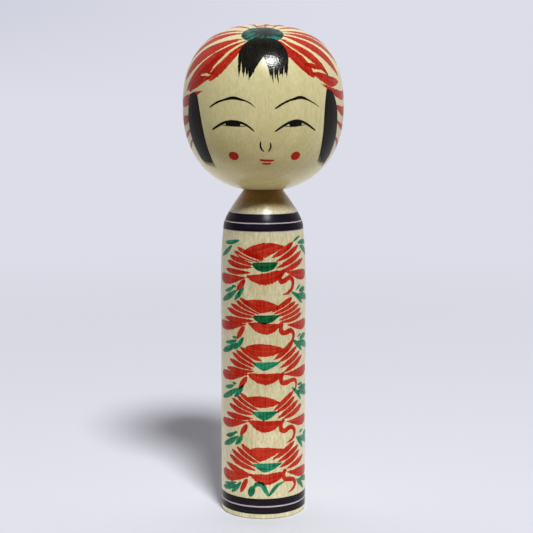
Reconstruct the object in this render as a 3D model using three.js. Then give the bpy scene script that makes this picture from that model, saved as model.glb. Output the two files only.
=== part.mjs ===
// A turned wooden kokeshi doll: a straight body with a tenon on top, and a ball head whose blind
// mortise is pushed onto that tenon. Millimetres, +Z up, the origin at the centre of the foot.

import * as THREE from "three";

// ---- driving dimensions, mm ----

// body
const bodyDiameter = 42.5;
const bodyHeight = 162.2;        // foot to the top of the neck, where the head sits
const footRounding = 1.0;        // radius of the softened edge round the foot
const taperLength = 38.0;        // the last stretch of the flank, which draws in to the shoulder line
const taperInset = 1.45;         // how far that stretch draws in, on the radius
const shoulderHeight = 18.2;     // shoulder line to the top of the neck
const neckDiameter = 19.6;

// joint
const tenonDiameter = 14.0;
const tenonLength = 22.0;        // above the top of the neck
const tenonChamfer = 0.8;        // at the tip, and at the mouth of the mortise

// head
const headDiameter = 78.8;
const crownHeight = 40.0;        // widest point up to the crown
const chinHeight = 39.9;         // widest point down to the flat seat underneath
const seatMargin = 0.8;          // the flat seat is wider than the neck by this, on the radius

// clearances
const seatGap = 0.3;             // top of the neck to the head's seat
const tenonClearance = 0.1;      // tenon to mortise, on the radius
const mortiseEndRoom = 2.0;      // tip of the tenon to the bottom of the mortise

// ---- form: a plain number unless a unit is given ----

const crownFullness = 2.45;      // exponent of the head's outline above the widest point: 2 is round
const chinFullness = 2.23;       // and below it
const flankHold = 0.79;          // share of the taper's length over which the flank stays straight
const shoulderLean = 0.062;      // lean of the flank at the shoulder line, radians from upright
const shoulderHold = 6.0;        // how far the shoulder keeps that lean before it turns in, mm
const neckLean = 0.3;            // lean of the shoulder where it meets the neck, radians
const neckHold = 1.4;            // how far the neck keeps its lean, mm

// ---- resolution ----

const turnSegments = 64;
const headSteps = 12;            // steps of the outline from the widest point to the crown
const chinSteps = 11;            // and down to the seat
const flankSteps = 5;
const shoulderSteps = 10;
const roundingSteps = 3;

// ---- worked out from them ----

const bodyRadius = bodyDiameter / 2;
const neckRadius = neckDiameter / 2;
const tenonRadius = tenonDiameter / 2;
const mortiseRadius = tenonRadius + tenonClearance;
const shoulderZ = bodyHeight - shoulderHeight;
const taperStartZ = shoulderZ - taperLength;
const seatZ = bodyHeight + seatGap;
const seatRadius = neckRadius + seatMargin;
const equatorZ = seatZ + chinHeight;
const headRadius = headDiameter / 2;
const tenonTipZ = bodyHeight + tenonLength;
const mortiseEndZ = tenonTipZ + mortiseEndRoom;

const point = (radius, z) => new THREE.Vector2(radius, z);

// Turns an outline, given from the axis up and back to the axis, about +Z into one closed body.
function turned(outline, name, material) {
  const geometry = new THREE.LatheGeometry(outline, turnSegments);
  geometry.rotateX(Math.PI / 2);
  const mesh = new THREE.Mesh(geometry, material);
  mesh.name = name;
  return mesh;
}

// Foot, flank, shoulder and neck as one outline, with the tenon standing on the neck.
function bodyOutline() {
  const outline = [point(0, 0)];
  for (let i = 0; i <= roundingSteps; i++) {
    const angle = (i / roundingSteps) * (Math.PI / 2);
    outline.push(point(
      bodyRadius - footRounding * (1 - Math.sin(angle)),
      footRounding * (1 - Math.cos(angle)),
    ));
  }

  const shoulderLine = point(bodyRadius - taperInset, shoulderZ);
  const lean = point(-Math.sin(shoulderLean), Math.cos(shoulderLean));
  const neckTop = point(neckRadius, bodyHeight);
  const neckDirection = point(-Math.sin(neckLean), Math.cos(neckLean));

  const flank = new THREE.CubicBezierCurve(
    point(bodyRadius, taperStartZ),
    point(bodyRadius, taperStartZ + flankHold * taperLength),
    shoulderLine.clone().addScaledVector(lean, -shoulderHold),
    shoulderLine,
  );
  const shoulder = new THREE.CubicBezierCurve(
    shoulderLine,
    shoulderLine.clone().addScaledVector(lean, shoulderHold),
    neckTop.clone().addScaledVector(neckDirection, -neckHold),
    neckTop,
  );
  outline.push(...flank.getPoints(flankSteps));
  outline.push(...shoulder.getPoints(shoulderSteps).slice(1));

  outline.push(
    point(tenonRadius, bodyHeight),
    point(tenonRadius, tenonTipZ - tenonChamfer),
    point(tenonRadius - tenonChamfer, tenonTipZ),
    point(0, tenonTipZ),
  );
  return outline;
}

// The head's outline: two superellipses that meet at the widest point, the lower one cut flat by
// the seat, and the mortise going up from the seat to its blind end.
function headOutline() {
  const outline = [
    point(0, mortiseEndZ),
    point(mortiseRadius, mortiseEndZ),
    point(mortiseRadius, seatZ + tenonChamfer),
    point(mortiseRadius + tenonChamfer, seatZ),
  ];

  // The lower half's full depth, chosen so that it has the seat's radius at the seat's height.
  const seatShare = 1 - (seatRadius / headRadius) ** chinFullness;
  const fullDepth = chinHeight / seatShare ** (1 / chinFullness);
  const seatAngle = Math.asin(Math.sqrt(seatShare));
  for (let i = 0; i < chinSteps; i++) {
    const angle = seatAngle * (1 - i / chinSteps);
    outline.push(point(
      headRadius * Math.cos(angle) ** (2 / chinFullness),
      equatorZ - fullDepth * Math.sin(angle) ** (2 / chinFullness),
    ));
  }
  for (let i = 0; i < headSteps; i++) {
    const angle = (i / headSteps) * (Math.PI / 2);
    outline.push(point(
      headRadius * Math.cos(angle) ** (2 / crownFullness),
      equatorZ + crownHeight * Math.sin(angle) ** (2 / crownFullness),
    ));
  }
  outline.push(point(0, equatorZ + crownHeight));
  return outline;
}

// ---- the doll ----

// Mizuki, the pale close-grained wood that kokeshi are turned from, under a coat of wax.
const dogwood = new THREE.MeshStandardMaterial({ color: 0xd8cda0, roughness: 0.42, metalness: 0 });

const doll = new THREE.Group();
doll.add(turned(bodyOutline(), "body", dogwood.clone()));
doll.add(turned(headOutline(), "head", dogwood.clone()));

export default doll;
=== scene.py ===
import math

import bpy
import numpy as np
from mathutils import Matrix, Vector
from mathutils.geometry import delaunay_2d_cdt
from mathutils.noise import noise


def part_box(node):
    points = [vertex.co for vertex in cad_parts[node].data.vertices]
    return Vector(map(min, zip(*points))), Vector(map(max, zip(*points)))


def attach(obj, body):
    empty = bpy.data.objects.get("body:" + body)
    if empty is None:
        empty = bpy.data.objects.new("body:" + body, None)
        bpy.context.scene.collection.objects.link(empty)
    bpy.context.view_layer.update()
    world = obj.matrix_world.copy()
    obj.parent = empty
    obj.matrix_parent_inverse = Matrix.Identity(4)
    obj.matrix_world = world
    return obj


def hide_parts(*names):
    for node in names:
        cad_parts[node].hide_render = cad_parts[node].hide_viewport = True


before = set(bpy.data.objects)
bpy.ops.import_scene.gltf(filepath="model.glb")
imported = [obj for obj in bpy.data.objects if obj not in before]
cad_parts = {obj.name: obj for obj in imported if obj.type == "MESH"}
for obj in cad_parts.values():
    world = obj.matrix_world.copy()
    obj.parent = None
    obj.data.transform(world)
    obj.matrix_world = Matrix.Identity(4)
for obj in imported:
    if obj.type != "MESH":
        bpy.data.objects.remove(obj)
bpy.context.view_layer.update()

# ---- camera ----
# A long lens a little above the doll's head, looking slightly down at it from straight in front.

camera = bpy.data.objects.new("camera", bpy.data.cameras.new("camera"))
camera.data.sensor_width = 36
camera.data.lens = 86.8
camera.data.clip_start = 0.01
camera_tilt = 7.77
camera.location = (0.0016, -0.6353, 0.2103)
camera.rotation_euler = (math.radians(90 - camera_tilt), 0, 0)
bpy.context.scene.collection.objects.link(camera)
bpy.context.scene.camera = camera
bpy.context.scene.view_settings.view_transform = "Standard"

# ---- body ----
# A bar of mizuki, a pale dogwood, turned between centres: straight flank, rounded shoulder, neck,
# and a tenon on top that the head is pushed onto. Sanded on the lathe and burnished with wax.

MM = 0.001
body_radius = (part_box("body")[1].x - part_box("body")[0].x) / 2 / MM
tenon_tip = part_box("body")[1].z / MM
neck_top, neck_radius = 162.2, 9.8
tenon_radius, tenon_chamfer = 7.0, 0.8
foot_rounding = 1.0
taper_start = 106.0
shoulder_line = (19.8, 144.0)
shoulder_lean, neck_lean = 0.062, 0.3
# How far the flank, the shoulder and the neck keep their lean before they turn in.
flank_hold, shoulder_hold, neck_hold = 30, 6, 1.4
lathe_sides = 256


def curve_to(start, first, second, end, steps):
    """A cubic curve from start to end, without its first point."""
    t = (np.arange(steps) + 1)[:, None] / steps
    start, first, second, end = (np.array(p, float) for p in (start, first, second, end))
    return (
        (1 - t) ** 3 * start + 3 * t * (1 - t) ** 2 * first + 3 * t * t * (1 - t) * second + t**3 * end
    )


def set_down(name, mesh, crease):
    """Puts a mesh in the scene as one piece, smooth except where it creases by more than this."""
    mesh.shade_smooth()
    mesh.set_sharp_from_angle(angle=math.radians(crease))
    piece = bpy.data.objects.new(name, mesh)
    bpy.context.scene.collection.objects.link(piece)
    return piece


def turned(name, outline):
    """One closed solid, from an outline that starts and ends on the lathe's axis, in mm."""
    outline = [tuple(p) for p in outline]
    ring = [2 * math.pi * i / lathe_sides for i in range(lathe_sides)]
    points = [(0, 0, outline[0][1] * MM)]
    for radius, z in outline[1:-1]:
        points += [(radius * math.sin(a) * MM, -radius * math.cos(a) * MM, z * MM) for a in ring]
    points.append((0, 0, outline[-1][1] * MM))
    last = len(points) - 1
    faces = []
    for i in range(lathe_sides):
        j = (i + 1) % lathe_sides
        faces.append((0, 1 + j, 1 + i))
        for row in range(len(outline) - 3):
            a = 1 + row * lathe_sides
            faces.append((a + i, a + j, a + lathe_sides + j, a + lathe_sides + i))
        a = last - lathe_sides
        faces.append((a + i, a + j, last))
    mesh = bpy.data.meshes.new(name)
    mesh.from_pydata(points, [], faces)
    return set_down(name, mesh, 35)


lean = np.array([-math.sin(shoulder_lean), math.cos(shoulder_lean)])
neck_way = np.array([-math.sin(neck_lean), math.cos(neck_lean)])
flank = curve_to(
    (body_radius, taper_start), (body_radius, taper_start + flank_hold),
    np.array(shoulder_line) - shoulder_hold * lean, shoulder_line, 24,
)
shoulder = curve_to(
    shoulder_line, np.array(shoulder_line) + shoulder_hold * lean,
    np.array([neck_radius, neck_top]) - neck_hold * neck_way, (neck_radius, neck_top), 30,
)
foot = [
    (
        body_radius - foot_rounding * (1 - math.sin(a * math.pi / 16)),
        foot_rounding * (1 - math.cos(a * math.pi / 16)),
    )
    for a in range(9)
]
straight = [(body_radius, z) for z in np.linspace(foot_rounding, taper_start, 25)[1:]]
skin = np.array([*foot[-1:], *straight, *flank, *shoulder])
body = turned("body_turned", [
    (0, 0), *foot, *straight, *flank, *shoulder,
    (tenon_radius, neck_top), (tenon_radius, tenon_tip - tenon_chamfer),
    (tenon_radius - tenon_chamfer, tenon_tip), (0, tenon_tip),
])


def linear(code):
    """An sRGB hex colour as the linear colour that the shaders work in."""
    parts = [int(code[i:i + 2], 16) / 255 for i in (1, 3, 5)]
    return (*[c / 12.92 if c <= 0.04045 else ((c + 0.055) / 1.055) ** 2.4 for c in parts], 1)


def add(tree, kind, inputs=None, **settings):
    """Adds one node: its settings by name, its inputs as values or as the outputs they come from."""
    made = tree.nodes.new(kind)
    for key, value in settings.items():
        setattr(made, key, value)
    for key, value in (inputs or {}).items():
        if isinstance(value, bpy.types.NodeSocket):
            tree.links.new(value, made.inputs[key])
        else:
            made.inputs[key].default_value = value
    return made


def fibres_in(tree):
    """Where each point is on its piece, and the relief of the dogwood's fibres there.

    The fibres are 0.3 mm across and several mm long. They are drawn 0.9 mm across, because finer
    ones don't show.
    """
    place = add(tree, "ShaderNodeTexCoord").outputs["Object"]
    fibre_place = add(tree, "ShaderNodeMapping", {"Vector": place, "Scale": (1100, 1100, 85)})
    fibre = add(tree, "ShaderNodeTexNoise", {
        "Vector": fibre_place.outputs[0], "Scale": 1, "Detail": 4, "Roughness": 0.65,
    })
    return place, fibre.outputs[0]


def grain(tree, plain=1.0, deep="#cdc5a0", pale="#e2dfcb"):
    """The dogwood's own colour, and the relief of its fibres.

    plain is how strongly its fibres show, and deep and pale are the colours that its flecks run
    between. The growth rings are faint, about 3 mm apart, round a pith well behind the doll. A
    colour mix takes its share at 0 and its two colours at 6 and 7, and gives one out at 2.
    """
    pith_spot = (0.03, 0.085, 0)
    place, relief = fibres_in(tree)
    drift = add(tree, "ShaderNodeTexNoise", {"Vector": place, "Scale": 30, "Detail": 2})
    fleck_place = add(tree, "ShaderNodeMapping", {"Vector": place, "Scale": (1000, 1000, 420)})
    fleck = add(tree, "ShaderNodeTexNoise", {"Vector": fleck_place.outputs[0], "Scale": 1, "Detail": 2})
    flecked = add(tree, "ShaderNodeMapRange", {
        "Value": fleck.outputs[0], "From Min": 0.5 - 0.14 / plain, "From Max": 0.5 + 0.14 / plain,
    })
    pith = add(tree, "ShaderNodeVectorMath", {0: place, 1: pith_spot}, operation="SUBTRACT")
    flat = add(tree, "ShaderNodeVectorMath", {0: pith.outputs[0], 1: (1, 1, 0.06)}, operation="MULTIPLY")
    reach = add(tree, "ShaderNodeVectorMath", {0: flat.outputs[0]}, operation="LENGTH")
    bent = add(tree, "ShaderNodeMath", {
        0: drift.outputs[0], 1: 0.006, 2: reach.outputs["Value"],
    }, operation="MULTIPLY_ADD")
    rings = add(tree, "ShaderNodeTexNoise", {
        "W": bent.outputs[0], "Scale": 420, "Detail": 2,
    }, noise_dimensions="1D")
    warm = add(tree, "ShaderNodeMix", {
        0: flecked.outputs[0], 6: linear(deep), 7: linear(pale),
    }, data_type="RGBA")
    ringed = add(tree, "ShaderNodeMapRange", {
        "Value": rings.outputs[0], "From Min": 0.3, "From Max": 0.75, "To Min": 0.0, "To Max": 0.2,
    })
    late = add(tree, "ShaderNodeMix", {
        0: ringed.outputs[0], 6: warm.outputs[2], 7: linear("#b0a471"),
    }, data_type="RGBA")
    streak = add(tree, "ShaderNodeMapRange", {
        "Value": relief, "From Min": 0.34, "From Max": 0.68,
        "To Min": 0.0, "To Max": 0.66 * plain,
    })
    colour = add(tree, "ShaderNodeMix", {
        0: streak.outputs[0], 6: late.outputs[2], 7: linear("#ada16c"),
    }, data_type="RGBA")
    return colour.outputs[2], relief


def finish_in(name, roughness, specular=0.5):
    """A new material with only its shader: the material, its tree, and the shader to link into."""
    material = bpy.data.materials.new(name)
    material.use_nodes = True
    shader = material.node_tree.nodes["Principled BSDF"]
    shader.inputs["Roughness"].default_value = roughness
    shader.inputs["Specular IOR Level"].default_value = specular
    return material, material.node_tree, shader


def waxed(name, plain, *wood):
    """Dogwood under wax: the grain's colour, with a sheen that is a little dull along the fibres."""
    material, tree, shader = finish_in(name, 0.3, 0.45)
    shader.inputs["Coat Weight"].default_value = 0.2
    shader.inputs["Coat Roughness"].default_value = 0.2
    colour, relief = grain(tree, plain, *wood)
    tree.links.new(colour, shader.inputs["Base Color"])
    worn = add(tree, "ShaderNodeMapRange", {
        "Value": relief, "From Min": 0.3, "From Max": 0.7, "To Min": 0.24, "To Max": 0.36,
    })
    tree.links.new(worn.outputs[0], shader.inputs["Roughness"])
    bump = add(tree, "ShaderNodeBump", {"Height": relief, "Strength": 0.12, "Distance": 0.00015})
    tree.links.new(bump.outputs[0], shader.inputs["Normal"])
    return material


# Waxed dogwood, split so that its straight grain runs up the body: cream, finely streaked.
body_wood = waxed("waxed dogwood, long grain", 1.0)
# Painted shade: the shoulder close under the head, where the head's shadow falls, is multiplied darker and
# browner.
tree = body_wood.node_tree
shader = tree.nodes["Principled BSDF"]
place = add(tree, "ShaderNodeTexCoord").outputs["Object"]
height = add(tree, "ShaderNodeSeparateXYZ", {0: place}).outputs["Z"]
under_head_shade_mask = add(tree, "ShaderNodeMapRange", {
    "Value": height, "From Min": 0.1525, "From Max": 0.1575, "To Min": 0.0, "To Max": 1.0,
})
under_head_shade_tint = add(tree, "ShaderNodeMix", {
    0: under_head_shade_mask.outputs[0], 6: shader.inputs["Base Color"].links[0].from_socket, 7: linear("#e6ba8c"),
}, data_type="RGBA", blend_type="MULTIPLY")
tree.links.new(under_head_shade_tint.outputs[2], shader.inputs["Base Color"])
body.data.materials.append(body_wood)
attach(body, "body")
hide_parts("body")

# ---- head ----
# A ball of the same wood, a little deeper and squarer than round, with a flat seat underneath and
# a blind mortise bored up from it. The mortise grips the tenon, so the head turns stiffly.

head_radius = (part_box("head")[1].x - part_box("head")[0].x) / 2 / MM
seat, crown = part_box("head")[0].z / MM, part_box("head")[1].z / MM
widest = 202.4
seat_radius, mortise_radius, mortise_end = 10.6, 7.1, 186.2
crown_fullness, chin_fullness = 2.45, 2.23

seat_share = 1 - (seat_radius / head_radius) ** chin_fullness
crown_height = crown - widest
chin_depth = (widest - seat) / seat_share ** (1 / chin_fullness)
seat_angle = math.asin(math.sqrt(seat_share))
cheek = [
    (
        head_radius * math.cos(a) ** (2 / chin_fullness),
        widest - chin_depth * math.sin(a) ** (2 / chin_fullness),
    )
    for a in np.linspace(seat_angle, 0, 60)[:-1]
]
scalp = [
    (
        head_radius * math.cos(a) ** (2 / crown_fullness),
        widest + crown_height * math.sin(a) ** (2 / crown_fullness),
    )
    for a in np.linspace(0, math.pi / 2, 64)[:-1]
]
head = turned("head_turned", [
    (0, mortise_end), (mortise_radius, mortise_end), (mortise_radius, seat + tenon_chamfer),
    (mortise_radius + tenon_chamfer, seat), *cheek, *scalp, (0, crown),
])
# The head's wood is picked for its face, a little quieter than the body's and yellower.
head_wood = waxed("waxed dogwood, face grain", 0.4, "#d3c98f", "#e6dfb6")
head.data.materials.append(head_wood)
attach(head, "head")
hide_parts("head")

# ---- bands ----
# Ink bands laid on with a loaded brush while the doll still spins on the lathe, in pairs with a
# hair of bare wood between: two round the foot and two round the shoulder line.


# How far a film of ink or dye reaches into the wood, so that no gap shows under it, in mm.
sunk = 0.03


def ring_film(name, low, high, lift=0.03):
    """A closed hoop of ink, as thin as it can be drawn, that follows the body's outline."""
    heights = np.linspace(low, high, 7)
    radii = np.interp(heights, skin[:, 1], skin[:, 0])
    outline = [(r + lift, z) for r, z in zip(radii, heights)]
    outline += [(r - sunk, z) for r, z in zip(radii[::-1], heights[::-1])]
    points, faces = [], []
    for r, z in outline:
        for i in range(lathe_sides):
            a = 2 * math.pi * i / lathe_sides
            # The brush shakes a little, so a band's edges wander.
            shake = 0.07 * noise(Vector((math.sin(a) * 5, math.cos(a) * 5, round(z) * 1.7)))
            points.append((r * math.sin(a) * MM, -r * math.cos(a) * MM, (z + shake) * MM))
    for row in range(len(outline)):
        below, above = row * lathe_sides, (row + 1) % len(outline) * lathe_sides
        for i in range(lathe_sides):
            j = (i + 1) % lathe_sides
            faces.append((below + i, below + j, above + j, above + i))
    mesh = bpy.data.meshes.new(name)
    mesh.from_pydata(points, [], faces)
    return set_down(name, mesh, 35)


# Violet-black lathe ink: nearly black, a breath of violet where it is thin, drawn round in fine rings.
band_ink, tree, shader = finish_in("violet-black lathe ink", 0.26, 0.07)
place = add(tree, "ShaderNodeTexCoord").outputs["Object"]
round_place = add(tree, "ShaderNodeMapping", {"Vector": place, "Scale": (60, 60, 2600)})
drawn = add(tree, "ShaderNodeTexNoise", {"Vector": round_place.outputs[0], "Scale": 1, "Detail": 3})
relief = fibres_in(tree)[1]
thin = add(tree, "ShaderNodeMapRange", {
    "Value": drawn.outputs[0], "From Min": 0.52, "From Max": 0.8, "To Min": 0.0, "To Max": 0.5,
})
ink = add(tree, "ShaderNodeMix", {
    0: thin.outputs[0], 6: linear("#16131b"), 7: linear("#3a3348"),
}, data_type="RGBA")
tree.links.new(ink.outputs[2], shader.inputs["Base Color"])
bump = add(tree, "ShaderNodeBump", {"Height": relief, "Strength": 0.1, "Distance": 0.00015})
tree.links.new(bump.outputs[0], shader.inputs["Normal"])

for name, low, high in (
    ("foot_band_low", 2.6, 6.1), ("foot_band_high", 6.8, 10.5),
    ("shoulder_band_low", 143.2, 146.8), ("shoulder_band_high", 147.3, 151.3),
):
    band = ring_film(name, low, high)
    band.data.materials.append(band_ink)
    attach(band, "body")

# Violet run-off: the ink's violet creeps into the bare wood between the bands and past the
# shoulder pair, so a pale lilac line shows there.
run_off, tree, shader = finish_in("violet ink run into the wood", 0.3, 0.25)
wood = grain(tree)[0]
tinted = add(tree, "ShaderNodeMix", {0: 0.8, 6: wood, 7: linear("#a99db4")}, data_type="RGBA")
tree.links.new(tinted.outputs[2], shader.inputs["Base Color"])
for name, low, high in (
    ("foot_band_run", 6.0, 6.9), ("shoulder_under_run", 142.85, 143.3),
    ("shoulder_band_run", 146.7, 147.4), ("shoulder_edge_run", 151.2, 151.6),
):
    run = ring_film(name, low, high, 0.015)
    run.data.materials.append(run_off)
    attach(run, "body")

# ---- chrysanthemum petals ----
# Five flowers up the front, each a red petal above, a fan of petals either side, a long drop at
# each side, a petal below and a curling tendril. Brushed on freehand in red dye.


def line_through(points, step=0.5, closed=False):
    """A smooth line through the points, in steps of about this many mm. A doubled point is a corner."""
    p = np.array(points, float)
    if closed:
        ring = np.vstack([p[-1:], p, p[:2]])
    else:
        ring = np.vstack([2 * p[:1] - p[1:2], p, 2 * p[-1:] - p[-2:-1]])
    line = []
    for a, b, c, d in zip(ring, ring[1:], ring[2:], ring[3:]):
        reach = math.hypot(*(c - b))
        if reach < 1e-6:
            continue
        count = max(2, round(reach / step))
        for t in np.arange(count) / count:
            bend = 2 * a - 5 * b + 4 * c - d + t * (3 * (b - c) + d - a)
            line.append(b + 0.5 * t * (c - a + t * bend))
    if not closed:
        line.append(p[-1])
    return np.array(line)


def creep(edge, middle, bleed):
    """Dye creeps along the fibres, so an edge that crosses them is finely feathered up and down.

    bleed is how far it creeps, in mm.
    """
    out = np.sign(edge[:, 1] - middle[:, 1])
    ragged = [max(0, noise(Vector((u * 1.9, z * 0.2, 3.7)))) for u, z in edge]
    return edge + np.stack([0 * out, out * np.array(ragged) * bleed * 2], -1)


def stroke(points, width, press=(0.8, 0.8), bleed=0.3, step=0.5):
    """One pull of the brush along the points.

    press says how fast it swells and how fast it lifts, bleed how far the dye creeps, and step how
    finely its edge is followed: fine marks need a shorter one.
    """
    spine = line_through(points, step)
    gone = np.concatenate([[0], np.cumsum(np.hypot(*np.diff(spine, axis=0).T))])
    run = gone / gone[-1]
    swell = run ** press[0] * (1 - run) ** press[1]
    half = width / 2 * swell / swell.max()
    ahead = np.gradient(spine, axis=0)
    ahead /= np.hypot(*ahead.T)[:, None]
    side = np.stack([-ahead[:, 1], ahead[:, 0]], -1)
    left = creep(spine + side * half[:, None], spine, bleed)[1:-1]
    right = creep(spine - side * half[:, None], spine, bleed)[1:-1]
    return np.vstack([spine[:1], right, spine[-1:], left[::-1]]), spine


def patch(outline, spine, bleed=0.3, step=0.5):
    """A shape filled in with the brush: its outline, and the line that the brush was drawn along."""
    edge = line_through(outline, step, closed=True)
    edge = creep(edge, np.broadcast_to(edge.mean(0), edge.shape), bleed)
    return edge, line_through(spine, step)


def within(outline, spots):
    """Which spots an outline goes round, folded or not."""
    a, b = outline[:, None], np.roll(outline, -1, 0)[:, None]
    x, y = spots.T
    side = (b[..., 0] - a[..., 0]) * (y - a[..., 1]) - (b[..., 1] - a[..., 1]) * (x - a[..., 0])
    upward = (a[..., 1] <= y) & (b[..., 1] > y) & (side > 0)
    downward = (a[..., 1] > y) & (b[..., 1] <= y) & (side < 0)
    return upward.sum(0) != downward.sum(0)


def lie_of(flat, spine):
    """How far along the stroke's line each point lies, and how far to its side, in mm."""
    start, way = spine[:-1], np.diff(spine, axis=0)
    length = np.hypot(*way.T)
    off = flat[:, None] - start
    t = np.clip((off * way).sum(-1) / length**2, 0, 1)
    off -= t[..., None] * way
    nearest = np.argmin(np.hypot(off[..., 0], off[..., 1]), 1)
    rows = np.arange(len(flat))
    gone = np.concatenate([[0], np.cumsum(length)])
    along = gone[nearest] + t[rows, nearest] * length[nearest]
    cross = way[nearest, 0] * off[rows, nearest, 1] - way[nearest, 1] * off[rows, nearest, 0]
    return along, cross / length[nearest]


def film(name, marks, surface, lift, beneath=(), bare=(), spacing=1.2):
    """The dried dye of many brush marks: one closed skin, a few hundredths of a mm thick.

    It carries what its material needs: "lie", how far along and across its brush mark a point is,
    "coats", how many marks cross there, and "under", whether the marks beneath reach there too.
    The bare marks are slits that the brush missed.
    """
    everything = [*beneath, *bare, *marks]
    corners, edges = [], []
    for outline, _ in everything:
        count = len(outline)
        edges += [(len(corners) + i, len(corners) + (i + 1) % count) for i in range(count)]
        corners += [Vector(p) for p in outline]
    own = np.vstack([outline for outline, _ in marks])
    low, high = own.min(0), own.max(0)
    # Inner points in a triangular grid keep every facet small enough to follow the round surface.
    row_share = 0.87
    for row, y in enumerate(np.arange(low[1], high[1], spacing * row_share)):
        for x in np.arange(low[0] + row % 2 * spacing / 2, high[0], spacing):
            corners.append(Vector((x, y)))
    weld = 1e-4
    flat, _, triangles, _, _, _ = delaunay_2d_cdt(corners, edges, [], 0, weld, False)
    flat, triangles = np.array([tuple(p) for p in flat]), np.array(triangles)
    middles = flat[triangles].mean(1)
    covers = np.zeros((len(everything), len(triangles)), bool)
    for cover, (outline, _) in zip(covers, everything):
        near = ((middles > outline.min(0)) & (middles < outline.max(0))).all(1)
        cover[near] = within(outline, middles[near])
    first = len(beneath) + len(bare)
    mine = covers[first:]
    painted = mine.any(0) & ~covers[len(beneath):first].any(0)
    kept, mine = triangles[painted], mine[:, painted]
    coats = mine.sum(0)
    tops = len(everything) - 1 - np.argmax(mine[::-1], 0)
    under = covers[:len(beneath), painted].any(0)
    used, kept = np.unique(kept, return_inverse=True)
    kept = kept.reshape(-1, 3)
    flat = flat[used]

    # The third number sets each mark apart, so that no two have the same streaks.
    apart = 3.17
    lie = np.zeros((len(kept), 3, 3))
    for mark in np.unique(tops):
        rows = tops == mark
        along, across = lie_of(flat[kept[rows]].reshape(-1, 2), everything[mark][1])
        lie[rows] = np.stack([along, across, np.full(len(along), mark * apart)], -1).reshape(-1, 3, 3)

    step = 0.02
    right = surface(flat + (step, 0)) - surface(flat - (step, 0))
    up = surface(flat + (0, step)) - surface(flat - (0, step))
    out = np.cross(right, up)
    out /= np.linalg.norm(out, axis=1)[:, None]
    spot = surface(flat)
    points = np.vstack([spot + out * lift, spot - out * sunk]) * MM
    a, b, c = spot[kept].swapaxes(0, 1)
    turned_in = (np.cross(b - a, c - a) * out[kept[:, 0]]).sum(1) < 0
    kept[turned_in] = kept[turned_in][:, ::-1]
    lie[turned_in] = lie[turned_in][:, ::-1]

    count = len(flat)
    edges = {}
    for row, (a, b, c) in enumerate(kept.tolist()):
        for k, edge in enumerate(((a, b), (b, c), (c, a))):
            edges[edge] = (row, k)
    faces = kept.tolist() + (kept[:, ::-1] + count).tolist()
    lies = [*lie.reshape(-1, 3), *lie[:, ::-1].reshape(-1, 3)]
    source = [*range(len(kept)), *range(len(kept))]
    for (a, b), (row, k) in edges.items():
        if (b, a) not in edges:
            faces.append([b, a, a + count, b + count])
            ends = lie[row][k], lie[row][(k + 1) % 3]
            lies += [ends[1], ends[0], ends[0], ends[1]]
            source.append(row)

    mesh = bpy.data.meshes.new(name)
    mesh.from_pydata(points.tolist(), [], faces)
    mesh.attributes.new("lie", "FLOAT_VECTOR", "CORNER").data.foreach_set("vector", np.ravel(lies))
    for key, values in (("coats", coats), ("under", under)):
        layer = mesh.attributes.new(key, "FLOAT", "FACE")
        layer.data.foreach_set("value", np.array(values, float)[source])
    return set_down(name, mesh, 50)


def on_body(flat):
    """The body's surface, from mm round it from the front and mm up it."""
    radius = np.interp(flat[:, 1], skin[:, 1], skin[:, 0])
    angle = flat[:, 0] / body_radius
    return np.stack([radius * np.sin(angle), -radius * np.cos(angle), flat[:, 1]], -1)


def dye(name, washed, full, doubled, roughness, pull=(0.09, 1.7), specular=0.1):
    """The dogwood where dye has soaked in, from the dye's washed-out colour to its full one.

    The skin is opaque. The wood shows only as its fibres, which take up more or less of the dye.
    The hairs of the brush leave streaks along each mark, 0.3 mm apart in life and drawn 0.6 mm
    apart so that they show: pull is how fast they change along the mark and across it. A second
    coat is deeper, and another dye beneath turns it to doubled.
    """
    per_coat = 0.22
    material, tree, shader = finish_in(name, roughness, specular)
    relief = fibres_in(tree)[1]
    lie = add(tree, "ShaderNodeAttribute", attribute_name="lie").outputs["Vector"]
    coats = add(tree, "ShaderNodeAttribute", attribute_name="coats").outputs["Fac"]
    under = add(tree, "ShaderNodeAttribute", attribute_name="under").outputs["Fac"]
    drawn_place = add(tree, "ShaderNodeMapping", {"Vector": lie, "Scale": (*pull, 1)})
    drawn = add(tree, "ShaderNodeTexNoise", {
        "Vector": drawn_place.outputs[0], "Scale": 1, "Detail": 3, "Roughness": 0.55,
    })
    streaks = add(tree, "ShaderNodeMapRange", {
        "Value": drawn.outputs[0], "From Min": 0.3, "From Max": 0.7, "To Min": 0.3, "To Max": 1.0,
    })
    fibres = add(tree, "ShaderNodeMapRange", {
        "Value": relief, "From Min": 0.35, "From Max": 0.65, "To Min": -0.3, "To Max": 0.3,
    })
    load = add(tree, "ShaderNodeMath", {0: streaks.outputs[0], 1: fibres.outputs[0]}, operation="ADD")
    extra = add(tree, "ShaderNodeMath", {
        0: coats, 1: per_coat, 2: load.outputs[0],
    }, operation="MULTIPLY_ADD")
    level = add(tree, "ShaderNodeMath", {
        0: extra.outputs[0], 1: per_coat,
    }, operation="SUBTRACT", use_clamp=True)
    colour = add(tree, "ShaderNodeMix", {
        0: level.outputs[0], 6: linear(washed), 7: linear(full),
    }, data_type="RGBA")
    crossed = add(tree, "ShaderNodeMix", {
        0: under, 6: colour.outputs[2], 7: linear(doubled),
    }, data_type="RGBA")
    tree.links.new(crossed.outputs[2], shader.inputs["Base Color"])
    bump = add(tree, "ShaderNodeBump", {"Height": relief, "Strength": 0.1, "Distance": 0.00015})
    tree.links.new(bump.outputs[0], shader.inputs["Normal"])
    return material


# Red dye: soaked in, so the wood's fibres still show in it, and a little darker where two petals
# cross.
red_dye = dye("transparent red dye", "#c8442f", "#9c1107", "#7c100c", 0.28)



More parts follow.
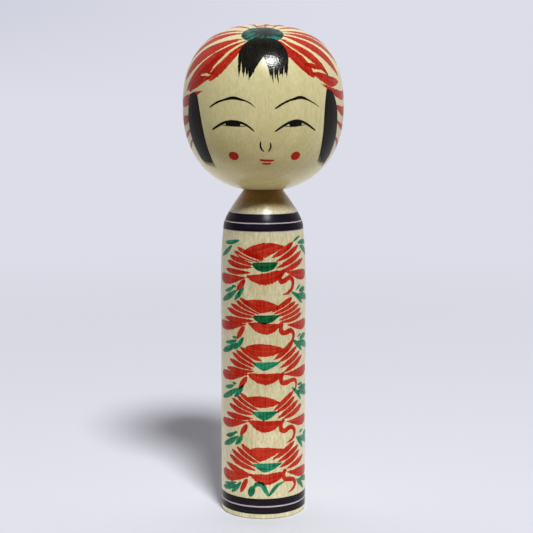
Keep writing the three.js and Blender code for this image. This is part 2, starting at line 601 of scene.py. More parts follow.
def between(start, end, share=0.5, sag=0.0):
    """The point a share of the way from start to end, let down by the sag."""
    return (
        start[0] * (1 - share) + end[0] * share,
        start[1] * (1 - share) + end[1] * share - sag,
    )


# Each petal is (tip, root, width) in mm round the body from the front and mm up it.
fan, drop = (0.75, 0.95), (0.5, 1.15)
petal_sag, drop_sag = 0.35, 0.9
flowers = [
    {
        "above": [(-10.5, 132.6), (-3, 133.4), (3, 134.9), (11, 136)], "above_width": 7.2,
        "above_press": (0.7, 1.0),
        "fan": [
            ((-14, 135.4), (-0.5, 128.8), 2.6), ((-16, 133.3), (-2, 128.7), 2.6),
            ((-9, 133), (0.6, 129.6), 3.2), ((-19, 131), (-5, 127), 2.7), ((-21, 128.2), (-5, 125.8), 2.9),
            ((-22.5, 124), (-6, 123.3), 2.4), ((17, 137.7), (4, 130.5), 2.8),
            ((21, 136), (6, 128.5), 2.5), ((23.5, 132.8), (6.5, 125.5), 2.7),
            ((25, 128.9), (8, 123.5), 2.6),
        ],
        "drops": [((-28, 119.7), (-8, 120.9), 5.1), ((29, 121.2), (11, 123.6), 5.2)],
        "below": [(-8.5, 121.5), (1, 120.3), (12, 124)], "below_width": 5.6,
        "tendril": [
            (10.5, 123.4), (8.3, 121.3), (9, 119), (11, 119.2), (13.5, 120.6), (15.6, 119.3),
            (16, 117), (15, 114.7), (12.5, 113), (9.7, 112.3),
        ],
        "stem": [(-9, 120), (-14, 114)],
    },
    {
        "above": [(-10.5, 108.5), (-2, 107), (8, 106.5)], "above_width": 6.4,
        "above_press": (0.8, 0.9),
        "fan": [
            ((-12, 110.8), (-1, 103.5), 2.6), ((-14.5, 109.3), (-2, 103.2), 2.6),
            ((-18, 107.3), (-3.5, 102.5), 2.6), ((-21, 104.8), (-4.5, 101.5), 2.7),
            ((-23, 99.9), (-4.5, 99.8), 2.8), ((15.5, 110.7), (4, 104), 2.8),
            ((18, 108.3), (5, 103), 2.4), ((20.5, 106.8), (6.5, 101.8), 2.5),
            ((22.5, 104.5), (7.5, 99.8), 2.5), ((23.5, 102), (8, 98.7), 2.4),
        ],
        "drops": [((-28.5, 96.3), (-8, 98), 4.6), ((29, 97), (12, 97.3), 5)],
        "below": [(-7.5, 98.5), (1.5, 95.8), (9, 97.8)], "below_width": 5.4,
        "tendril": [
            (9.8, 98.6), (8.8, 96), (9.6, 93.6), (12, 93.7), (14.5, 94.4), (16.4, 92.5),
            (16, 90), (14.3, 88.2), (12, 87),
        ],
        "stem": [(-9.5, 97), (-14, 90)],
    },
    {
        "above": [(-9, 86.4), (0, 85.2), (11.5, 85.3)], "above_width": 6.3,
        "above_press": (0.85, 1.1),
        "fan": [
            ((-12, 86.5), (-0.5, 79.8), 2.6), ((-14.5, 84.7), (-3.5, 78.3), 2.5),
            ((-17, 83.2), (-4, 76.8), 2.6), ((-19, 79.6), (-5, 75.5), 2.7),
            ((-21.5, 75), (-4, 74.8), 2.6), ((16.5, 88.8), (5, 80.2), 2.8),
            ((19, 86), (7.5, 79), 2.4), ((21.5, 83.2), (8, 76), 2.5), ((23.5, 80.8), (10, 73.7), 2.7),
        ],
        "drops": [((-26.5, 71.6), (-7, 73.2), 4.7), ((29.5, 73.8), (10, 72.9), 5)],
        "below": [(-8, 73.2), (1, 70.9), (10.5, 73)], "below_width": 5.4,
        "tendril": [
            (10.6, 74), (9, 71.5), (9.6, 68.8), (12, 68.7), (15, 69.4), (17.6, 69.2),
            (18.4, 67.3), (18, 65), (16.3, 63.6),
        ],
        "stem": [(-8, 72), (-13, 65)],
    },
    {
        "above": [(-10, 60.3), (-1, 59.4), (9, 58.8)], "above_width": 5.7,
        "above_press": (0.8, 1.0),
        "fan": [
            ((-12, 63.5), (-4, 57.5), 2.4), ((-14.3, 62), (-2, 55), 2.5),
            ((-17.5, 60.2), (-4, 54), 2.6), ((-19.5, 56.8), (-5, 53), 2.7),
            ((-22, 52), (-5, 51), 2.8), ((16.5, 63.8), (5, 55), 2.8),
            ((17.5, 61), (6, 53.7), 2.4), ((20, 58.7), (7, 51), 2.8), ((23.5, 56), (10, 50.5), 2.8),
        ],
        "drops": [((-26.5, 47.3), (-7, 49.5), 4.4), ((29, 48.5), (12, 49), 5)],
        "below": [(-7.5, 49.9), (1, 47.1), (10, 49.4)], "below_width": 5.5,
        "tendril": [
            (10.8, 50.5), (9, 48), (9.2, 45.2), (11.2, 44.4), (14, 45.8), (16.5, 45),
            (17.3, 42.5), (16, 39.7), (12, 38),
        ],
        "stem": [(-8, 48), (-12, 42)],
    },
    {
        "above": [(-8.5, 33.3), (-1.5, 33.1), (4, 34.2), (13, 35.5)], "above_width": 6.8,
        "above_press": (0.75, 1.8),
        "fan": [
            ((-11.5, 37.8), (-1, 29.3), 2.6), ((-14.5, 36), (-2, 28.5), 2.6),
            ((-17.5, 34), (-4, 26.8), 2.7), ((-19.5, 31), (-3.5, 24.8), 2.8),
            ((-22, 26.5), (-5, 22), 3.0), ((17.5, 38.3), (4.5, 30.3), 2.6),
            ((20.5, 35.8), (7, 28.8), 2.6), ((21.5, 33), (8, 26), 2.9), ((25.5, 29.5), (12, 25), 2.6),
        ],
        "drops": [((-26, 21.2), (-7, 21.5), 5.4), ((30, 21.8), (12, 23.3), 5.3)],
        "below": [(-7, 22.6), (1.5, 20.3), (12, 23.4)], "below_width": 5.4,
        "tendril": [
            (12, 25), (10.4, 22.5), (11.3, 19.9), (14, 19.4), (16.8, 18.6), (17.7, 16.2),
            (16.2, 14), (13, 12.6),
        ],
        "stem": [(-8, 20.5), (-12, 12.8)],
    },
]
petals, slivers = [], []
for flower in flowers:
    for tip, root, width in flower["drops"]:
        belly = between(tip, root, 0.4, drop_sag)
        petals.append(stroke([tip, belly, root], width, drop))
    for tip, root, width in flower["fan"]:
        # A petal springs from the heart in a shallow curve.
        middle = between(tip, root, 0.5, petal_sag)
        petals.append(stroke([tip, middle, root], width * 1.1, fan, 0.28))
    for (tip, root, _), (next_tip, next_root, _) in zip(flower["fan"], flower["fan"][1:]):
        # A sliver of bare wood is left between neighbours on the same side.
        if (tip[0] > 0) == (next_tip[0] > 0):
            inner, outer = between(root, next_root), between(tip, next_tip)
            bend = between(inner, outer, 0.5, petal_sag)
            slivers.append(stroke([outer, bend, inner], 0.32, (0.5, 0.7), 0.1))
    petals.append(stroke(flower["above"], flower["above_width"], flower["above_press"], 0.25))
    petals.append(stroke(flower["below"], flower["below_width"], (0.95, 0.95), 0.55))
    petals.append(stroke(flower["tendril"], 2.4, (0.25, 0.6)))
    petals.append(stroke(flower["stem"], 2.7, (0.6, 0.7)))
flower_petals = film("flower_petals", petals, on_body, 0.02, bare=slivers)
flower_petals.data.materials.append(red_dye)
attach(flower_petals, "body")

# ---- leaves and hearts ----
# A spray of leaves at each side between the flowers and a runner of grass along the foot, brushed
# on after the petals in blue-green dye. Where it crosses the red it goes nearly black.

# Blue-green dye: bright where the brush ran dry, deep where it was full.
leaf_dye = dye("transparent blue-green dye", "#2ea27c", "#0a5039", "#111712", 0.28, (0.14, 1.1))

# Each leaf is (one end, the other end, width).
sprays = [
    ((-24, 137), (-12.5, 138.8), 2.1), ((-17.5, 136), (-27, 130), 2.4),
    ((16.5, 137.6), (23.5, 140.2), 1.2), ((20.5, 137), (31, 136.2), 2.6), ((22, 135.4), (32, 130), 3.0),
    ((-17.2, 116.1), (-14, 116.2), 1.3), ((-22.8, 113), (-15.5, 115.8), 1.9),
    ((-26, 107.9), (-13.5, 114.5), 3.0), ((-15.5, 109.3), (-9.8, 116.3), 2.4),
    ((18, 113.8), (22, 116.2), 1.1), ((20.5, 113.2), (27.5, 113.6), 2.8),
    ((17.5, 111.3), (33, 107.8), 3.4), ((14.8, 113.5), (23.8, 106.8), 2.3),
    ((-17, 90.8), (-13.5, 91), 1.3), ((-22.8, 87.4), (-13.5, 89.6), 2.0),
    ((-26, 82.5), (-13, 88.2), 3.2), ((-15.5, 84.8), (-9.8, 91.5), 2.6),
    ((19.2, 90.3), (22.5, 91.7), 1.0), ((21, 89.3), (29, 90.5), 2.8),
    ((19, 88), (33, 83.2), 3.5), ((15.8, 89.5), (23.5, 83), 2.3),
    ((-17, 68), (-14, 67.7), 1.2), ((-23, 64.8), (-15.5, 66.8), 2.1),
    ((-26, 59), (-13, 65.7), 3.0), ((-15.5, 60.8), (-10, 67.8), 2.6),
    ((19.5, 66.3), (24, 66.5), 1.5), ((20, 64.5), (31, 63.5), 2.8),
    ((19, 63), (33, 59.3), 3.2), ((15.5, 65.7), (23, 58.2), 2.1),
    ((-16, 43), (-13.5, 43.3), 1.3), ((-22.5, 40), (-14.5, 43), 2.2),
    ((-25, 35), (-13, 41.5), 3.0), ((-15, 36.8), (-10.5, 42.5), 2.7),
    ((21, 41.7), (25, 42.7), 1.4), ((25, 40.3), (34, 39), 3.0),
    ((20, 39.5), (34, 34.3), 3.5), ((18.5, 40.3), (25, 33.2), 2.4),
    ((-24, 15.5), (-14, 17.8), 1.6), ((-26, 13), (-14, 16.5), 2.8),
    ((-18, 12), (-11.5, 18.3), 2.4), ((21, 18), (34, 14.8), 3.0), ((18.5, 18.5), (26, 12), 2.4),
]
leaves = []
for start, end, width in sprays:
    way = Vector(end) - Vector(start)
    side = Vector((-way.y, way.x)) * 0.04 * (1 if start[0] * way.x > 0 else -1)
    middle = (Vector(start) + Vector(end)) / 2 + side
    leaves.append(stroke([start, tuple(middle), end], width * 0.96, (0.7, 0.75), 0.25))
# The runner of grass: three blades that bend over one another.
leaves += [
    stroke(points, width, press) for points, width, press in (
        ([(-6.6, 11.3), (-6, 14), (-4.6, 17.2)], 3.5, (0.6, 0.7)),
        ([(-4.8, 16.6), (-2.4, 18.1), (-0.2, 17.2), (1.2, 14.6), (2.9, 11.6)], 2.5, (0.45, 0.6)),
        ([(2.7, 11.7), (5.2, 15.2), (7.8, 17.4), (11.4, 18.8)], 1.8, (0.6, 0.9)),
    )
]

# The heart of each flower, one flat-topped dab between the petals: its left and right ends, its
# top, its lowest point, how far along that is, and how full its sides are.
hearts = [
    patch(
        [
            (left, top - 0.8), (left + 1.8, top - 0.1), (middle, top), (right - 1, top),
            (right, top - 0.5), (middle + (right - middle) * full, bottom + 1.2), (middle, bottom),
            (middle + (left - middle) * full, bottom + 1.1),
        ],
        [(left, top - 1), (middle, top - 1.6), (right, top - 1)], 0.15,
    )
    for left, right, top, bottom, middle, full in (
        (-5.6, 7.3, 128.4, 123.8, 0.5, 0.64), (-5.2, 8, 102.5, 98.2, 0.4, 0.56),
        (-5, 8.4, 79.3, 75.2, 0.4, 0.46), (-5.4, 7.2, 54.7, 50.4, 0.6, 0.5),
        (-5, 9.6, 28.5, 24, 0.8, 0.45),
    )
]
# The two upper hearts took a freshly filled brush, the three below were dabbed in with the leaves.
leaf_sprays = film("leaf_sprays", leaves + hearts[2:], on_body, 0.035, beneath=petals)
leaf_sprays.data.materials.append(leaf_dye)
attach(leaf_sprays, "body")

# Deep green dye: from a fuller brush than the leaves, so it is darker and less blue.
heart_dye = dye("transparent deep green dye", "#1f7145", "#07361c", "#0e150d", 0.28, (0.1, 0.9))
flower_hearts = film("flower_hearts", hearts[:2], on_body, 0.035, beneath=petals)
flower_hearts.data.materials.append(heart_dye)
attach(flower_hearts, "body")

# ---- crown wheel ----
# The dressed hair on the crown: red strokes that fly out from one hub above the forehead, long
# and full at the sides, fine at the back, with more behind each side lock.

hub_tilt = math.radians(35)
hub_reach = 39.6
hub = np.array([0, -math.sin(hub_tilt), math.cos(hub_tilt)])
hub_right = np.array([1.0, 0, 0])
hub_back = np.array([0, math.cos(hub_tilt), math.sin(hub_tilt)])


def on_crown(flat):
    """The head's surface, from mm to the right of the hub and mm back from it."""
    away = np.maximum(np.hypot(*flat.T), 1e-6)[:, None]
    way = (flat[:, :1] * hub_right + flat[:, 1:] * hub_back) / away
    way = hub * np.cos(away / hub_reach) + way * np.sin(away / hub_reach)
    upper = way[:, 2] >= 0
    fullness = np.where(upper, crown_fullness, chin_fullness)
    height = np.where(upper, crown_height, chin_depth)
    size = (np.hypot(way[:, 0], way[:, 1]) / head_radius) ** fullness
    size = (size + (abs(way[:, 2]) / height) ** fullness) ** (-1 / fullness)
    return way * size[:, None] + (0, 0, widest)


def on_face(flat):
    """The head's surface, from mm round it from the front and mm up from the foot."""
    share = (flat[:, 1] - widest) / np.where(flat[:, 1] >= widest, crown_height, chin_depth)
    fullness = np.where(share >= 0, crown_fullness, chin_fullness)
    radius = head_radius * (1 - np.minimum(abs(share), 1) ** fullness) ** (1 / fullness)
    angle = flat[:, 0] / head_radius
    return np.stack([radius * np.sin(angle), -radius * np.cos(angle), flat[:, 1]], -1)


wheel = [
    stroke(points, width, press) for points, width, press in (
        ([(-8, 1.6), (-18, 4.8), (-27, 7.4), (-39, 9)], 5.2, (1.2, 0.7)),
        ([(-8, -2.8), (-20, -2.3), (-31, -0.8), (-47, 1)], 7.4, (1.2, 0.7)),
        ([(-7, -4.4), (-18, -7.3), (-31, -8.5), (-47, -8.8)], 5.4, (1.0, 0.65)),
        ([(-20, -9.4), (-31, -11), (-44, -11.2)], 4.0, (0.7, 0.8)),
        ([(-16, -8.6), (-26, -11.4), (-34, -12.8), (-44, -12.4)], 5.6, (0.8, 0.7)),
        ([(-24, -15.6), (-31, -15.3), (-38, -14), (-45, -10.5)], 3.4, (0.5, 0.8)),
        ([(-7, -5.6), (-13, -10.5), (-20, -14.8), (-28, -18)], 5.4, (1.0, 0.55)),
        ([(8, 1.5), (18, 4.2), (28, 6.8), (42, 9.2)], 5.0, (1.2, 0.7)),
        ([(8, -0.2), (17, -0.9), (28, -1), (43, -1.6)], 5.4, (1.0, 0.75)),
        ([(7, -3), (15, -5.8), (23, -7.9), (34.5, -10.4)], 4.4, (0.9, 0.75)),
        ([(6, -4.4), (11.5, -8.8), (17.5, -13), (26, -17.6)], 6.0, (0.9, 0.7)),
        ([(19, -13.8), (24, -12.3), (29.5, -10.4)], 2.6, (0.7, 0.8)),
        ([(23.5, -16.3), (30, -14.6), (37, -12), (43.5, -5)], 5.2, (0.9, 0.8)),
        ([(10.2, -12.9), (12, -12.5), (14.5, -13)], 0.9, (0.6, 0.6)),
        ([(-3.2, 8.2), (-1, 10.2), (4, 12), (10, 12.8)], 2.2, (0.35, 0.9)),
    )
]
# The back of the wheel: bearing from straight back in degrees, reach, width.
for bearing, reach, width in (
    (-57, 58, 5.4), (-36, 48, 4.4), (-16, 56, 5.2), (5, 46, 4.4), (24, 56, 5.2), (42, 48, 4.4),
    (60, 58, 5.4),
):
    a = math.radians(bearing)
    bow = math.radians(bearing * 1.06)
    wheel.append(stroke([
        (8 * math.sin(a), 5.5 * math.cos(a)),
        (reach * 0.55 * math.sin(bow), reach * 0.55 * math.cos(bow)),
        (reach * math.sin(a), reach * math.cos(a)),
    ], width, (1.3, 0.75)))
# Slits of bare wood that the brush left inside and between the broad front strokes.
slits = [
    stroke([(-8.5, -5.2), (-14, -8), (-19.5, -11.2), (-24.8, -13.3)], 1.4, (0.9, 0.4)),
    stroke([(-32.5, -11.9), (-29.5, -13.7), (-26.4, -16)], 1.0, (0.5, 0.6)),
    stroke([(7.4, -4.2), (12, -7), (17.5, -9.6)], 0.55, (0.5, 0.5)),
    stroke([(10, -3.6), (16, -4.2), (24, -5)], 0.6, (0.5, 0.5)),
]
crown_wheel = film("crown_wheel", wheel, on_crown, 0.02, bare=slits)
crown_wheel.data.materials.append(red_dye)
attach(crown_wheel, "head")

tresses = [
    stroke(points, width, press) for points, width, press in (
        ([(30.5, 213.8), (36, 211.8), (44, 209.2), (52, 208.3), (64, 210.5)], 4.2, (1.1, 0.6)),
        ([(41, 204), (47, 201.8), (53, 200.7), (66, 202)], 4.8, (0.9, 0.6)),
        ([(42, 197), (50, 194), (58, 192.6), (68, 193)], 2.6, (0.8, 0.6)),
        ([(44, 189), (50, 186.6), (58, 183.4), (66, 181)], 2.2, (0.8, 0.7)),
        ([(-32, 210.4), (-38, 208.8), (-46, 206), (-57, 204.5)], 5.0, (1.1, 0.5)),
        ([(-41, 198.5), (-48, 196.8), (-58, 195.5)], 4.4, (0.9, 0.5)),
        ([(-42, 193), (-49, 190.2), (-58, 187.8)], 1.9, (0.8, 0.7)),
        ([(-43, 188), (-50, 184.6), (-57, 182)], 1.5, (0.8, 0.8)),
    )
]
side_strokes = film("side_tresses", tresses, on_face, 0.026)
side_strokes.data.materials.append(red_dye)
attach(side_strokes, "head")

# ---- topknot ----
# The hub of the wheel, a flat cap of blue-green dabbed round with a dry brush over black, so that
# dark spokes show through it.

knot = [patch(
    [
        (math.sin(a) * 9.4 - 0.3, math.cos(a) * 6.9 + 0.5 + 0.25 * noise(Vector((a * 2, 0, 1))))
        for a in np.linspace(0, 2 * math.pi, 28, endpoint=False)
    ],
    [(0, 8), (0.1, 0.5), (0, -7)], 0.1,
)]
topknot = film("topknot", knot, on_crown, 0.045, spacing=0.8)

# Dabbed green over ink: spokes of dark and light round the hub, 1 to 2 mm wide at the rim.
knot_green, tree, shader = finish_in("blue-green dye dabbed over ink", 0.28, 0.3)
place = add(tree, "ShaderNodeTexCoord").outputs["Object"]
hub_spot = on_crown(np.array([[1.0, 2.0]]))[0] * MM
centre = add(tree, "ShaderNodeVectorMath", {0: place, 1: tuple(hub_spot)}, operation="SUBTRACT")
level = add(tree, "ShaderNodeMapping", {"Vector": centre.outputs[0], "Rotation": (-hub_tilt, 0, 0)})
split = add(tree, "ShaderNodeSeparateXYZ", {0: level.outputs[0]})
bearing = add(tree, "ShaderNodeMath", {0: split.outputs[0], 1: split.outputs[1]}, operation="ARCTAN2")
reach = add(tree, "ShaderNodeVectorMath", {0: centre.outputs[0]}, operation="LENGTH")
spoke_place = add(tree, "ShaderNodeCombineXYZ", {0: bearing.outputs[0], 1: reach.outputs["Value"]})
spoke_scale = add(tree, "ShaderNodeMapping", {"Vector": spoke_place.outputs[0], "Scale": (2.6, 150, 1)})
spokes = add(tree, "ShaderNodeTexNoise", {"Vector": spoke_scale.outputs[0], "Scale": 1.4, "Detail": 3})
core = add(tree, "ShaderNodeMapRange", {
    "Value": reach.outputs["Value"], "From Min": 0.001, "From Max": 0.006,
    "To Min": -0.15, "To Max": 0.05,
})
light = add(tree, "ShaderNodeMath", {0: spokes.outputs[0], 1: core.outputs[0]}, operation="ADD")
mixed = add(tree, "ShaderNodeMapRange", {
    "Value": light.outputs[0], "From Min": 0.46, "From Max": 0.74, "To Min": 0.0, "To Max": 1.0,
})
green = add(tree, "ShaderNodeMix", {
    0: mixed.outputs[0], 6: linear("#0d1515"), 7: linear("#17806f"),
}, data_type="RGBA")
tree.links.new(green.outputs[2], shader.inputs["Base Color"])
bump = add(tree, "ShaderNodeBump", {"Height": spokes.outputs[0], "Strength": 0.15, "Distance": 0.0002})
tree.links.new(bump.outputs[0], shader.inputs["Normal"])
topknot.data.materials.append(knot_green)
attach(topknot, "head")

# ---- black hair ----
# The parted forelock and a lock down each side of the face, laid in with a broad brush of sumi
# ink. The brush is lifted at the tips, so they fray into single hairs.

# Polished sumi ink: dense black, burnished until it takes a hard speckled highlight.
forelock_black = dye("polished sumi ink", "#26241f", "#12110e", "#12110e", 0.16, (0.05, 2.2), 0.24)
tree = forelock_black.node_tree
place = add(tree, "ShaderNodeTexCoord").outputs["Object"]
speckle = add(tree, "ShaderNodeTexNoise", {"Vector": place, "Scale": 1300, "Detail": 1})
bump = add(tree, "ShaderNodeBump", {"Height": speckle.outputs[0], "Strength": 0.32, "Distance": 0.0002})
tree.links.new(bump.outputs[0], tree.nodes["Bump"].inputs["Normal"])

# Dry sumi ink: the same ink down the sides of the face, thinner, not polished, a little brown.
side_black = dye("dry sumi ink", "#2a2721", "#12110e", "#12110e", 0.3, (0.05, 2.2), 0.06)

forelock = [
    patch([
        (-4.4, -3.6), (-8, -6), (-10.6, -10.2), (-11.4, -14.6), (-11.3, -19.6), (-11.3, -19.6),
        (-9.6, -20.6), (-7.6, -21.6), (-6, -23.6), (-6, -23.6), (-4.6, -21.4), (-2.8, -18.6),
        (-1.2, -16.2), (0.2, -14.2), (0.2, -14.2), (1.4, -17.2), (2.8, -20.6), (4.2, -23.4),
        (4.2, -23.4), (6, -22.4), (8.6, -21.6), (11.2, -20.4), (11.2, -20.4), (11.6, -14.6),
        (10.6, -10), (8, -6), (4.4, -3.6), (0, -3.6),
    ], [(0, -2), (0, -12), (0, -26)], 0.1),
]
# Single hairs at the tips: where each leaves the lock, how long it is, and how far it leans.
for x, y, reach, lean_out in (
    (-11, -18.4, 4.6, -0.7), (-9.8, -19.4, 2.2, -0.2), (-9, -19.6, 3.8, -0.5), (-7.6, -20.4, 2.8, -0.2),
    (-6.5, -21.6, 3.6, -0.3), (-5.3, -20.6, 2.8, -0.7), (-4, -19, 3.4, -0.6), (3.1, -20.4, 3.8, 0.7),
    (4.3, -21.8, 5.0, 0.9), (5.6, -21.4, 3.4, 0.5), (6.7, -21.2, 5.6, 1.0), (7.8, -20.6, 2.6, 0.3),
    (9.1, -20.2, 3.2, 0.3), (10.2, -19.4, 2.4, 0.2), (11, -18.8, 4.4, 0.5),
):
    forelock.append(stroke(
        [(x, y + 2), (x + lean_out * 0.4, y - reach * 0.4), (x + lean_out, y - reach)],
        1.3, (0.3, 1.3), 0.05, 0.4,
    ))
# Bare wood between the hairs.
partings = [
    stroke([start, end], width, (1.3, 0.3), 0.05, 0.4) for start, end, width in (
        ((-9.8, -14.8), (-10.4, -22), 0.8), ((-8, -18), (-8.6, -23), 0.5),
        ((-6.9, -20), (-7.2, -24.5), 0.4), ((5, -18.4), (5.2, -25), 0.5),
        ((7.3, -18.8), (7.6, -24), 0.5), ((9.7, -17.2), (9.9, -23), 0.6),
    )
]
forelock_hair = film("forelock", forelock, on_crown, 0.055, bare=partings)

locks = [
    patch([
        (35, 211.4), (33.7, 209), (32.6, 203), (32.3, 197), (33, 188), (34.7, 181), (37, 177.2),
        (42, 176.4), (46.8, 177.4), (47.1, 181), (46.2, 188), (45.1, 194), (43.6, 202), (42, 206),
        (39.6, 209.8), (37, 211),
    ], [(37, 212), (39, 200), (40, 188), (43, 174)], 0.1),
    patch([
        (-40, 209.6), (-36.3, 208.6), (-34.6, 204), (-33, 197), (-32.2, 190), (-32, 183),
        (-32.6, 177.6), (-37, 176.4), (-41.5, 177), (-43.4, 180), (-44.7, 187), (-45.1, 195),
        (-44.6, 202), (-43.5, 207.6),
    ], [(-39, 211), (-39, 200), (-38, 188), (-37, 174)], 0.1),
]
# The frayed ends: from where, to where, and the two heights that they reach down to. Between the
# hairs the wood shows, further up in some places than in others.
gaps = []
for start, end, low_start, low_end in ((36.2, 47.4, 176.4, 173.6), (-43, -32.2, 175.6, 173.8)):
    for x in np.arange(start, end, 0.85):
        low = low_start + (low_end - low_start) * (x - start) / (end - start)
        low += 2.4 * noise(Vector((x * 1.7, 2, 5)))
        high = low + 3.2 + 4.5 * abs(noise(Vector((x * 2.3, 7, 1))))
        locks.append(stroke([(x - 0.3, 181.5), (x, 178), (x + 0.25, low)], 1.3, (0.3, 1.2), 0.05, 0.4))
        gaps.append(stroke([(x + 0.42, high), (x + 0.5, low - 3)], 0.6, (1.2, 0.2), 0.05, 0.4))
side_locks = film("side_locks", locks, on_face, 0.045, bare=gaps)
for piece, ink in ((forelock_hair, forelock_black), (side_locks, side_black)):
    piece.data.materials.append(ink)
    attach(piece, "head")

# ---- brows, eyes and nose ----
# Drawn in single strokes with the point of a fine brush: a high brow, a half-closed eye under one
# heavy lid line, and two short marks for the nose.

fine_marks = {
    "brows": [
        ([
            (-27.2, 202.8), (-22, 205.4), (-16, 206.9), (-13, 207.1), (-9.5, 206.3), (-6, 204.8),
            (-3.4, 202.6),
        ], 0.95, (0.2, 0.5)),
        ([(-20, 206.1), (-14, 207.2), (-8, 205.7)], 1.4, (0.7, 0.8)),
        ([
            (5.5, 202.2), (10, 205), (15, 206.9), (18, 207.3), (20.5, 206.9), (25, 205), (28.9, 202.9),
        ], 0.95, (0.2, 0.6)),
        ([(12.5, 206), (18, 207.4), (23, 206)], 1.45, (0.7, 0.8)),
    ],
    "eyes": [
        ([
            (-26.2, 192.4), (-21, 195), (-18, 196.1), (-14, 196.5), (-10, 195.7), (-7, 194.2), (-4, 191.8),
        ], 1.15, (0.2, 0.3)),
        ([
            (5.5, 191.6), (9.5, 194.3), (13, 196.1), (16.5, 196.8), (20, 195.9), (23, 194.4), (27.4, 191.9),
        ], 1.15, (0.25, 0.3)),
        ([(-20.4, 194.7), (-14.5, 194.3), (-8, 194.2)], 0.42, (0.4, 0.4)),
        ([(10.1, 194.2), (15, 194.1), (21, 194.9)], 0.42, (0.4, 0.4)),
        ([(-18.3, 195.3), (-14.5, 195.2), (-10.6, 195.2)], 2.2, (0.22, 0.22)),
        ([(12.4, 195.2), (15.8, 195.3), (19, 195.4)], 2.3, (0.22, 0.22)),
    ],
    "nose": [
        ([(-1.2, 187.3), (-1.3, 185), (-0.6, 183.4), (0.7, 182.3)], 0.85, (0.35, 0.5)),
        ([(3.5, 186.9), (3.9, 184.8), (3.4, 183.4), (2.7, 182.3)], 0.85, (0.45, 0.45)),
    ],
}
# Fine line ink: the same sumi, flatter, because so little of it is laid down.
line_ink = dye("fine sumi line", "#23211c", "#11100d", "#11100d", 0.35, (0.1, 3.0))
for name, marks in fine_marks.items():
    lines = film(name, [stroke(*mark, 0.04, 0.35) for mark in marks], on_face, 0.03, spacing=0.8)
    lines.data.materials.append(line_ink)
    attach(lines, "head")

# ---- lips and cheeks ----
# Two short red lines for the mouth, and a round spot on each cheek, touched in with red dye.

# Lip and cheek red: the same dye laid on thickly, so it is deeper than in the petals.
lip_red = dye("thick red dye", "#c2331f", "#b21d12", "#8c1410", 0.3, (0.3, 1.2))
lips = film("lips", [
    stroke([(-2.2, 178.5), (2, 178.1), (6.3, 178.2)], 1.05, (0.35, 0.35), 0.05, 0.35),
    stroke([(-0.7, 176.75), (2, 176.5), (4.7, 176.75)], 1.0, (0.35, 0.35), 0.05, 0.35),
], on_face, 0.03, spacing=0.8)
spot_height = 180.2
spots = film("cheek_spots", [
    patch(
        [
            (x + wide * math.sin(a), spot_height + 2.0 * math.cos(a))
            for a in np.linspace(0, 2 * math.pi, 16, endpoint=False)
        ],
        [(x - wide, spot_height), (x, spot_height), (x + wide, spot_height)], 0.08, 0.4,
    )
    for x, wide in ((-16.2, 2.9), (18, 2.7))
], on_face, 0.03, spacing=0.8)
for piece in (lips, spots):
    piece.data.materials.append(lip_red)
    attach(piece, "head")

# ---- paper floor and light ----
# A sheet of pale paper that runs out of sight all round, one soft window high in front and a
# little to the right, and a weak fill from everywhere else.

floor_mesh = bpy.data.meshes.new("paper_floor")
floor_reach, floor_sides = 8, 96
ring = [2 * math.pi * i / floor_sides for i in range(floor_sides)]
rim = [(floor_reach * math.sin(a), -floor_reach * math.cos(a), 0) for a in ring]
floor_mesh.from_pydata(rim, [], [list(range(floor_sides))])
floor = bpy.data.objects.new("paper_floor", floor_mesh)
bpy.context.scene.collection.objects.link(floor)
# Matt paper: an even pale lavender white. The doll is lit as if the paper ended not far in front of
# it and a brown table top went on from there, though the paper is seen to run on all round.
paper, tree, shader = finish_in("matt paper", 0.9, 0.1)
seen = add(tree, "ShaderNodeLightPath").outputs["Is Camera Ray"]
place = add(tree, "ShaderNodeTexCoord").outputs["Object"]
reach = add(tree, "ShaderNodeVectorMath", {0: place}, operation="LENGTH").outputs["Value"]
forward = add(tree, "ShaderNodeSeparateXYZ", {0: place}).outputs["Y"]
outward = add(tree, "ShaderNodeMapRange", {"Value": reach, "From Min": 0.15, "From Max": 0.24})
before = add(tree, "ShaderNodeMapRange", {"Value": forward, "From Min": 0.02, "From Max": -0.1})
table = add(tree, "ShaderNodeMath", {0: outward.outputs[0], 1: before.outputs[0]}, operation="MULTIPLY")
lit = add(tree, "ShaderNodeMix", {
    0: before.outputs[0], 6: linear("#f2f3f8"), 7: linear("#f2e4c4"),
}, data_type="RGBA")
under = add(tree, "ShaderNodeMix", {
    0: table.outputs[0], 6: lit.outputs[2], 7: linear("#40341f"),
}, data_type="RGBA")
shown = add(tree, "ShaderNodeMix", {
    0: seen, 6: under.outputs[2], 7: linear("#cfd1db"),
}, data_type="RGBA")
tree.links.new(shown.outputs[2], shader.inputs["Base Color"])
far = add(tree, "ShaderNodeMapRange", {
    "Value": reach, "From Min": 0.1, "From Max": 1.1,
}, interpolation_type="SMOOTHSTEP")
far_seen = add(tree, "ShaderNodeMath", {0: far.outputs[0], 1: seen}, operation="MULTIPLY")
glow = add(tree, "ShaderNodeEmission", {"Color": linear("#dcdde8"), "Strength": 1})
blend = add(tree, "ShaderNodeMixShader", {
    0: far_seen.outputs[0], 1: shader.outputs[0], 2: glow.outputs[0],
})
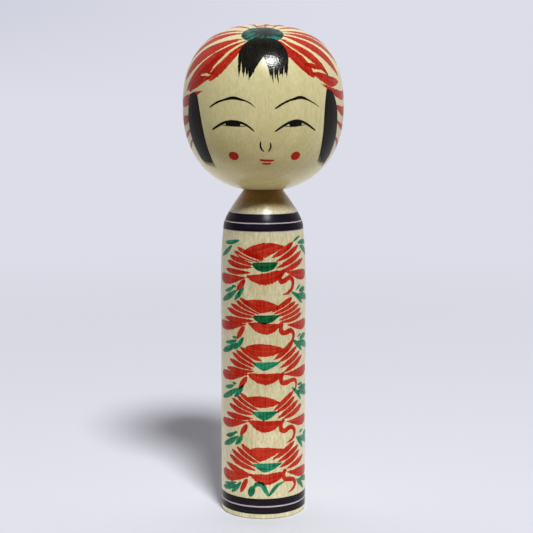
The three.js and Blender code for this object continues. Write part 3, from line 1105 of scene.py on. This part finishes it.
tree.links.new(blend.outputs[0], tree.nodes["Material Output"].inputs["Surface"])
floor.data.materials.append(paper)

world = bpy.data.worlds.new("pale room")
bpy.context.scene.world = world
world.use_nodes = True
tree = world.node_tree
backdrop = tree.nodes["Background"]
# The wall behind is pale and lit, and the room in front is dark, so only the doll's sides and back
# catch light from round about.
# Painted shade: the wall seen behind the doll is shown a little darker towards the left and the top.
way = add(tree, "ShaderNodeSeparateXYZ", {0: add(tree, "ShaderNodeTexCoord").outputs["Generated"]})
leftward = add(tree, "ShaderNodeMapRange", {
    "Value": way.outputs[0], "From Min": 0.05, "From Max": -0.2,
})
upward = add(tree, "ShaderNodeMapRange", {
    "Value": way.outputs[2], "From Min": -0.01, "From Max": 0.06,
})
dimmer = add(tree, "ShaderNodeMath", {0: leftward.outputs[0], 1: upward.outputs[0]}, operation="MULTIPLY")
wall = add(tree, "ShaderNodeMix", {
    0: dimmer.outputs[0], 6: linear("#dcdde8"), 7: linear("#d1d2df"),
}, data_type="RGBA")
tree.links.new(wall.outputs[2], backdrop.inputs["Color"])
behind = add(tree, "ShaderNodeMapRange", {
    "Value": way.outputs[1], "From Min": -0.1, "From Max": 0.5, "To Min": 0.006, "To Max": 0.9,
}, interpolation_type="SMOOTHSTEP")
fill = add(tree, "ShaderNodeBackground", {"Color": linear("#eeeaea"), "Strength": behind.outputs[0]})
seen = add(tree, "ShaderNodeLightPath").outputs["Is Camera Ray"]
either = add(tree, "ShaderNodeMixShader", {0: seen, 1: fill.outputs[0], 2: backdrop.outputs[0]})
tree.links.new(either.outputs[0], tree.nodes["World Output"].inputs["Surface"])

window = bpy.data.objects.new("window", bpy.data.lights.new("window", "AREA"))
window.data.shape = "DISK"
window.data.size = 1.2
window.data.energy = 326
window.data.color = (1.0, 1.0, 0.985)
around, up, distance = math.radians(16), math.radians(52), 5.2
aim = Vector((0, 0, 0.12))
window.location = aim + distance * Vector((
    math.sin(around) * math.cos(up), -math.cos(around) * math.cos(up), math.sin(up),
))
window.rotation_euler = (aim - window.location).to_track_quat("-Z", "Y").to_euler()
bpy.context.scene.collection.objects.link(window)
